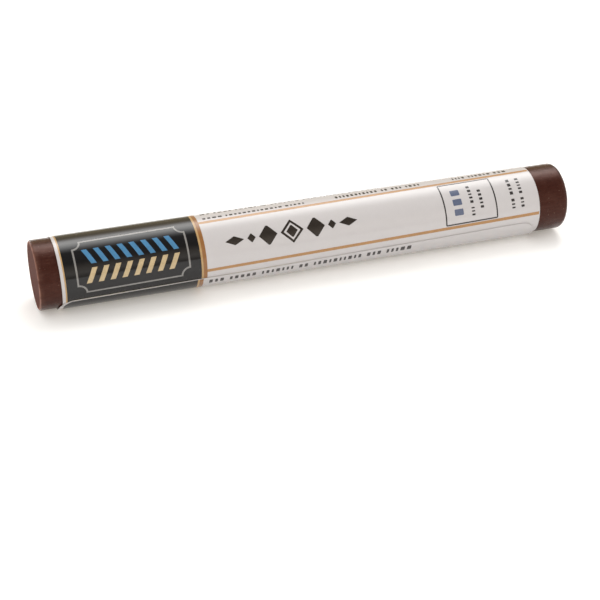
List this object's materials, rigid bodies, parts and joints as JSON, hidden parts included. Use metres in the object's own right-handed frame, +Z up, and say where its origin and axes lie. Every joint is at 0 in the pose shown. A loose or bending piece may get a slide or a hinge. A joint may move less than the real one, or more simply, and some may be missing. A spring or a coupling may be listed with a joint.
{
  "type": "furniture repair wax stick",
  "caption": "Solid round stick of dark red-brown repair wax in a wrapped gloss film label with a black panel, gold rules and plain marks.",
  "frame": {"origin": "middle of the stick's length, on the surface that it lies on", "axes": "+X along the stick to the end away from the black panel, +Z up, -Y to the side that shows the front of the label"},
  "size_m": [0.102, 0.013, 0.013],
  "materials": {
    "wax": "hard dark red-brown wax, satin, with fine handling scuffs",
    "adhesive": "clear pressure-sensitive adhesive coat",
    "white_film": "white label film",
    "black_print": "near-black label print under a gloss laminate",
    "gold_print": "flat gold-brown label print under a gloss laminate",
    "pale_gold_print": "flat pale gold label print under a gloss laminate",
    "silver_print": "flat silver-grey label print under a gloss laminate",
    "blue_print": "flat steel-blue label print under a gloss laminate",
    "grey_blue_print": "flat grey-blue label print under a gloss laminate",
    "dark_print": "dark warm grey label print under a gloss laminate",
    "clear_laminate": "clear gloss film"
  },
  "bodies": {
    "root": {"wax_stick": "wax", "label_adhesive": "adhesive", "label_film": "white_film", "black_panel_print": "black_print", "gold_band_print": "gold_print", "pale_gold_edge_print": "pale_gold_print", "upper_gold_rule_print": "gold_print", "lower_gold_rule_print": "gold_print", "silver_border_print": "silver_print", "blue_herringbone_print": "blue_print", "gold_herringbone_print": "pale_gold_print", "title_ornament_print": "dark_print", "shade_box_print": "dark_print", "blue_shade_marks_print": "grey_blue_print", "shade_note_print": "dark_print", "small_print": "dark_print", "clear_laminate": "clear_laminate"}
  },
  "joints": []
}
